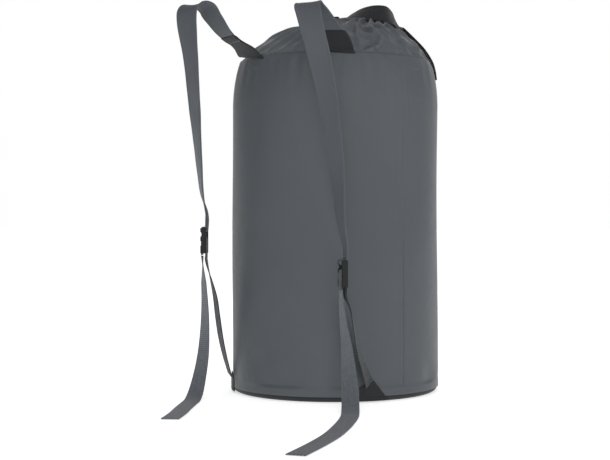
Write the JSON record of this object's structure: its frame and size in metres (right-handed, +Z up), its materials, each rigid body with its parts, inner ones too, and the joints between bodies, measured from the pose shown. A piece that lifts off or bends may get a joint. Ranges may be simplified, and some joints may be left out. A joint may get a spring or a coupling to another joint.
{
  "type": "laundry bag",
  "caption": "Round soft laundry bag with a gathered drawcord top, a carry handle and adjustable shoulder straps for carrying it on the back.",
  "frame": {"origin": "centre of the round base's underside", "axes": "+Z up the bag, -Y towards the back that carries the shoulder straps, +X to the right seen from there"},
  "size_m": [0.4251, 0.6877, 0.5961],
  "materials": {
    "bag_fabric": "matt coated nylon, dark grey",
    "base_fabric": "matt black coated nylon",
    "binding_tape": "woven tape",
    "strap_fabric": "matt nylon, dark grey",
    "grey_webbing": "woven nylon webbing, dark grey",
    "black_webbing": "woven nylon webbing, black",
    "black_plastic": "moulded acetal, satin",
    "drawcord": "braided polyester cord",
    "spring_steel": "bright wire"
  },
  "bodies": {
    "bag": {"base_panel": "base_fabric", "bottom_seam_tape": "binding_tape", "back_panel": "bag_fabric", "front_panel": "bag_fabric", "side_seam_tape_left": "binding_tape", "side_seam_tape_right": "binding_tape", "yoke_seam_tape": "binding_tape", "gathered_cap": "bag_fabric", "mouth_hem": "bag_fabric", "drawcord_eyelets": "black_plastic", "drawcord_loop": "drawcord", "drawcord_end_back": "drawcord", "drawcord_end_front": "drawcord", "drawcord_knot": "drawcord", "handle_end_inner": "black_webbing", "handle_end_outer": "black_webbing", "strap_anchor_left": "base_fabric", "webbing_foot_left": "grey_webbing", "corner_tab_left": "base_fabric", "strap_anchor_right": "base_fabric", "webbing_foot_right": "grey_webbing", "corner_tab_right": "base_fabric"},
    "handle": {"carry_handle": "black_webbing"},
    "cord_lock": {"cord_lock_barrel": "black_plastic", "cord_lock_spring": "spring_steel"},
    "cord_lock_button": {"cord_lock_button": "black_plastic"},
    "strap_left": {"shoulder_strap_left": "strap_fabric", "ladder_lock_left": "black_plastic", "adjuster_webbing_left": "grey_webbing", "webbing_tail_left": "grey_webbing"},
    "strap_right": {"shoulder_strap_right": "strap_fabric", "ladder_lock_right": "black_plastic", "adjuster_webbing_right": "grey_webbing", "webbing_tail_right": "grey_webbing"}
  },
  "joints": [
    {"name": "strap_swing_left", "type": "hinge", "parent": "bag", "child": "strap_left", "pos_m": [-0.09755, -0.12046, 0.3], "axis": [0, 0, 1], "range_deg": [-30, 15]},
    {"name": "strap_swing_right", "type": "hinge", "parent": "bag", "child": "strap_right", "pos_m": [0.09755, -0.12046, 0.3], "axis": [0, 0, 1], "range_deg": [-15, 30]},
    {"name": "handle_flop", "type": "hinge", "parent": "bag", "child": "handle", "pos_m": [0.01206, 0.00812, 0.571], "axis": [-0.8618, -0.4975, 0.0989], "range_deg": [0, 50]},
    {"name": "cord_lock_slide", "type": "slide", "parent": "bag", "child": "cord_lock", "axis": [-1, 0, 0], "range_m": [0, 0.02]},
    {"name": "cord_lock_press", "type": "slide", "parent": "cord_lock", "child": "cord_lock_button", "axis": [0, 0, -1], "range_m": [0, 0.0022], "stiffness_N_per_m": 400, "springref_m": -0.003, "deforming": ["cord_lock_spring"]}
  ]
}
